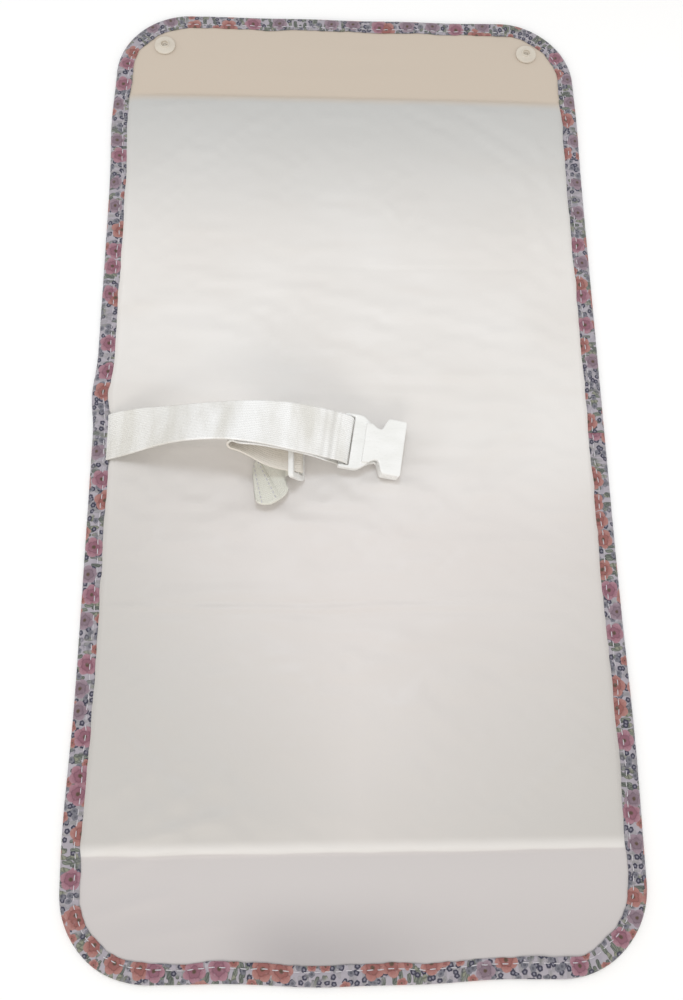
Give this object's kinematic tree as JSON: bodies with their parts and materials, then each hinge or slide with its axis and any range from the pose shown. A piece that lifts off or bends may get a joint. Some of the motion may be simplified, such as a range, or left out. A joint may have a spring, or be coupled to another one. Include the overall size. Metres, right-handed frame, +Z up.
{
  "type": "changing pad",
  "caption": "Folding padded changing pad with a taped edge, snap fasteners at the corners, and a side strap that carries a buckle socket and an adjuster.",
  "frame": {"origin": "on the underside, below the middle of the pad as it lies open", "axes": "+Y along the pad towards the end with the snap sockets, +X across it away from the strap's seam, +Z up"},
  "size_m": [0.325, 0.635, 0.0534],
  "materials": {
    "back_cloth": "printed woven cotton",
    "padding": "soft polyester wadding",
    "wipe_clean_sheet": "coated satin",
    "binding_tape": "floral printed cotton tape",
    "webbing": "glossy ribbed webbing",
    "snap_plastic": "gloss moulded",
    "buckle_plastic": "satin moulded"
  },
  "bodies": {
    "middle_panel": {"back_sheet_middle": "back_cloth", "foam_core_middle": "padding", "top_sheet_middle": "wipe_clean_sheet", "binding_middle_left": "binding_tape", "binding_middle_right": "binding_tape", "strap_sewn_end": "webbing"},
    "lower_panel": {"back_sheet_lower": "back_cloth", "foam_core_lower": "padding", "top_sheet_lower": "wipe_clean_sheet", "binding_lower": "binding_tape", "snap_stud_left": "snap_plastic", "snap_stud_right": "snap_plastic", "stud_cap_left": "snap_plastic", "stud_cap_right": "snap_plastic"},
    "upper_panel": {"back_sheet_upper": "back_cloth", "foam_core_upper": "padding", "top_sheet_upper": "wipe_clean_sheet", "binding_upper": "binding_tape", "snap_socket_left": "snap_plastic", "snap_socket_right": "snap_plastic", "snap_cap_left": "snap_plastic", "snap_cap_right": "snap_plastic"},
    "strap": {"strap_webbing": "webbing"},
    "buckle": {"buckle_socket": "buckle_plastic"},
    "adjuster": {"triglide": "buckle_plastic"}
  },
  "joints": [
    {"name": "fold_lower", "type": "hinge", "parent": "middle_panel", "child": "lower_panel", "pos_m": [0, -0.112, 0.008], "axis": [1, 0, 0], "range_deg": [-150, 0]},
    {"name": "fold_upper", "type": "hinge", "parent": "middle_panel", "child": "upper_panel", "pos_m": [0, 0.112, 0.008], "axis": [1, 0, 0], "range_deg": [0, 150]},
    {"name": "strap_swing", "type": "hinge", "parent": "middle_panel", "child": "strap", "pos_m": [-0.1504, -0.005, 0.006], "axis": [0, -1, 0], "range_deg": [0, 135]},
    {"name": "buckle_tilt", "type": "hinge", "parent": "strap", "child": "buckle", "pos_m": [-0.006, -0.0113, 0.019], "axis": [-0.1564, -0.9877, 0], "range_deg": [0, 55]},
    {"name": "adjuster_turn", "type": "hinge", "parent": "strap", "child": "adjuster", "pos_m": [-0.035, -0.0175, 0.0222], "axis": [0, 0.9903, 0.1392], "range_deg": [0, 15]}
  ]
}
